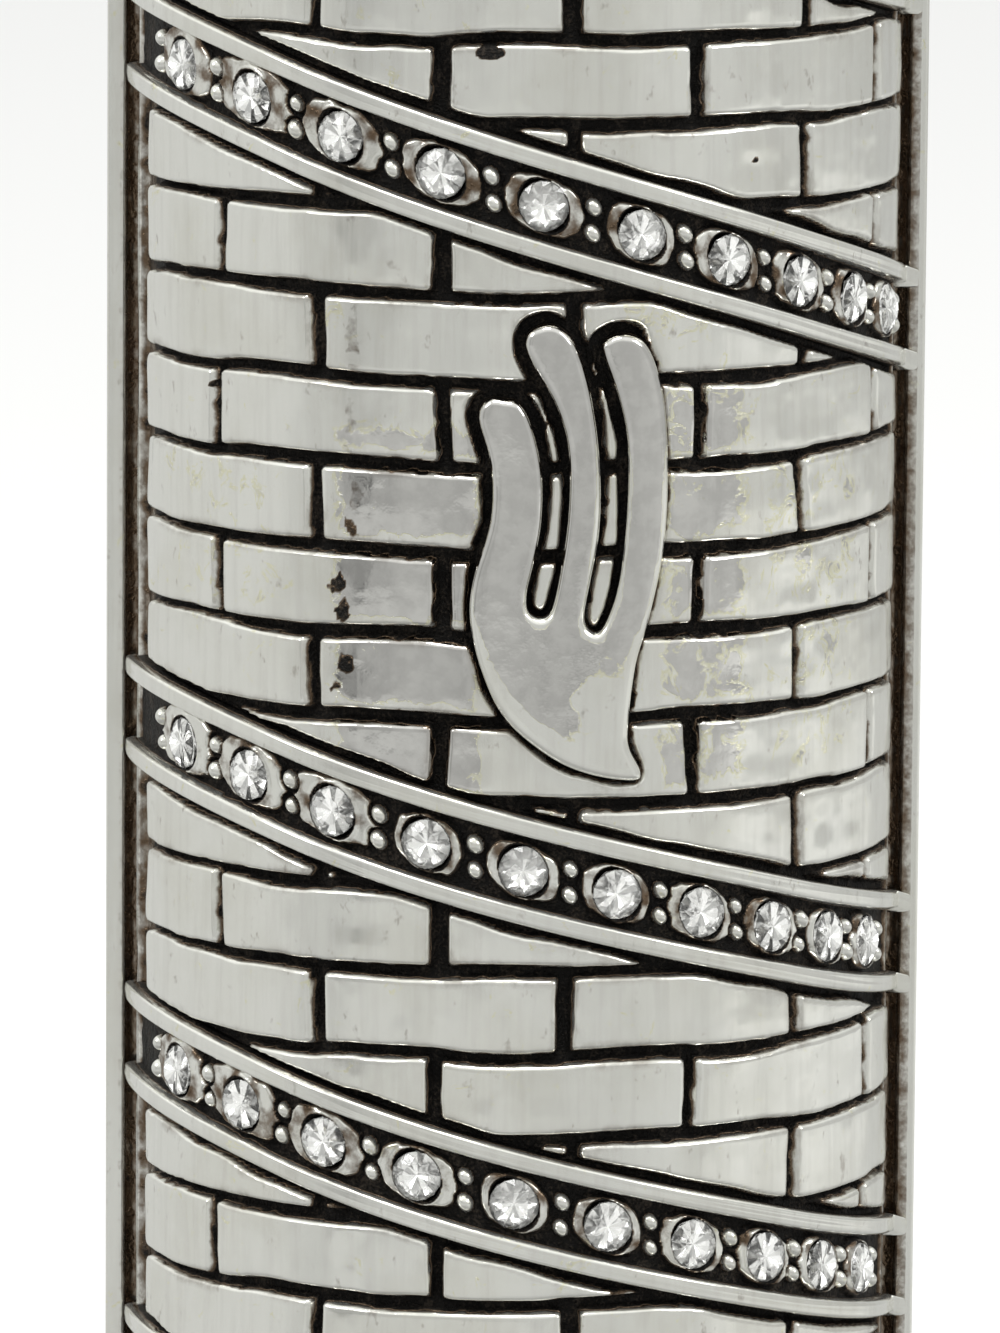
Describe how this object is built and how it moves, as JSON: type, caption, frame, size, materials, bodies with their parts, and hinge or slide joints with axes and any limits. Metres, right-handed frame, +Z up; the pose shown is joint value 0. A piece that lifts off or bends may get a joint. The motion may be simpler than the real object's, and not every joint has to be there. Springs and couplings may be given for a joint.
{
  "type": "mezuzah case",
  "caption": "Half-round doorpost mezuzah case with a silver brick-relief front, slanted gem-set bands and a raised letter, hung on a screw-fixed back rail and holding a parchment scroll.",
  "frame": {"origin": "centre of the back rail's rear face, on the doorpost surface, midway between the two wall screws", "axes": "+Z up along the case, +Y into the doorpost, so the front faces -Y, +X to the viewer's right when facing the case"},
  "size_m": [0.03, 0.0172, 0.15],
  "materials": {
    "silver": "polished silver plate, blackened in the hollows",
    "crystal": "clear cut crystal with a foiled back",
    "core_plastic": "moulded",
    "rail_metal": "satin extruded",
    "screw_steel": "plain",
    "parchment": "rolled parchment",
    "clear_film": "clear film"
  },
  "bodies": {
    "wall_bracket": {"back_rail": "rail_metal", "bottom_cap": "silver", "foot_screws": "screw_steel"},
    "case": {"core_shell": "core_plastic", "silver_facing": "silver", "top_cap": "silver", "shin_emblem": "silver", "gem_band_1": "silver", "gem_band_2": "silver", "gem_band_3": "silver", "gem_band_4": "silver", "gem_band_5": "silver", "gem_band_6": "silver", "gem_band_7": "silver", "gem_band_8": "silver", "crystals_1": "crystal", "crystals_2": "crystal", "crystals_3": "crystal", "crystals_4": "crystal", "crystals_5": "crystal", "crystals_6": "crystal", "crystals_7": "crystal", "crystals_8": "crystal"},
    "scroll": {"parchment_scroll": "parchment", "scroll_sleeve": "clear_film"},
    "left_lock": {"lock_screw_left": "screw_steel"},
    "right_lock": {"lock_screw_right": "screw_steel"}
  },
  "joints": [
    {"name": "case_lift", "type": "slide", "parent": "wall_bracket", "child": "case", "axis": [0, 0, 1], "range_m": [0, 0.13]},
    {"name": "scroll_lift", "type": "slide", "parent": "wall_bracket", "child": "scroll", "axis": [0, 0, 1], "range_m": [0, 0.0055]},
    {"name": "left_lock_travel", "type": "slide", "parent": "wall_bracket", "child": "left_lock", "axis": [0, 0, -1], "range_m": [0, 0.018]},
    {"name": "right_lock_travel", "type": "slide", "parent": "wall_bracket", "child": "right_lock", "axis": [0, 0, -1], "range_m": [0, 0.018]}
  ]
}
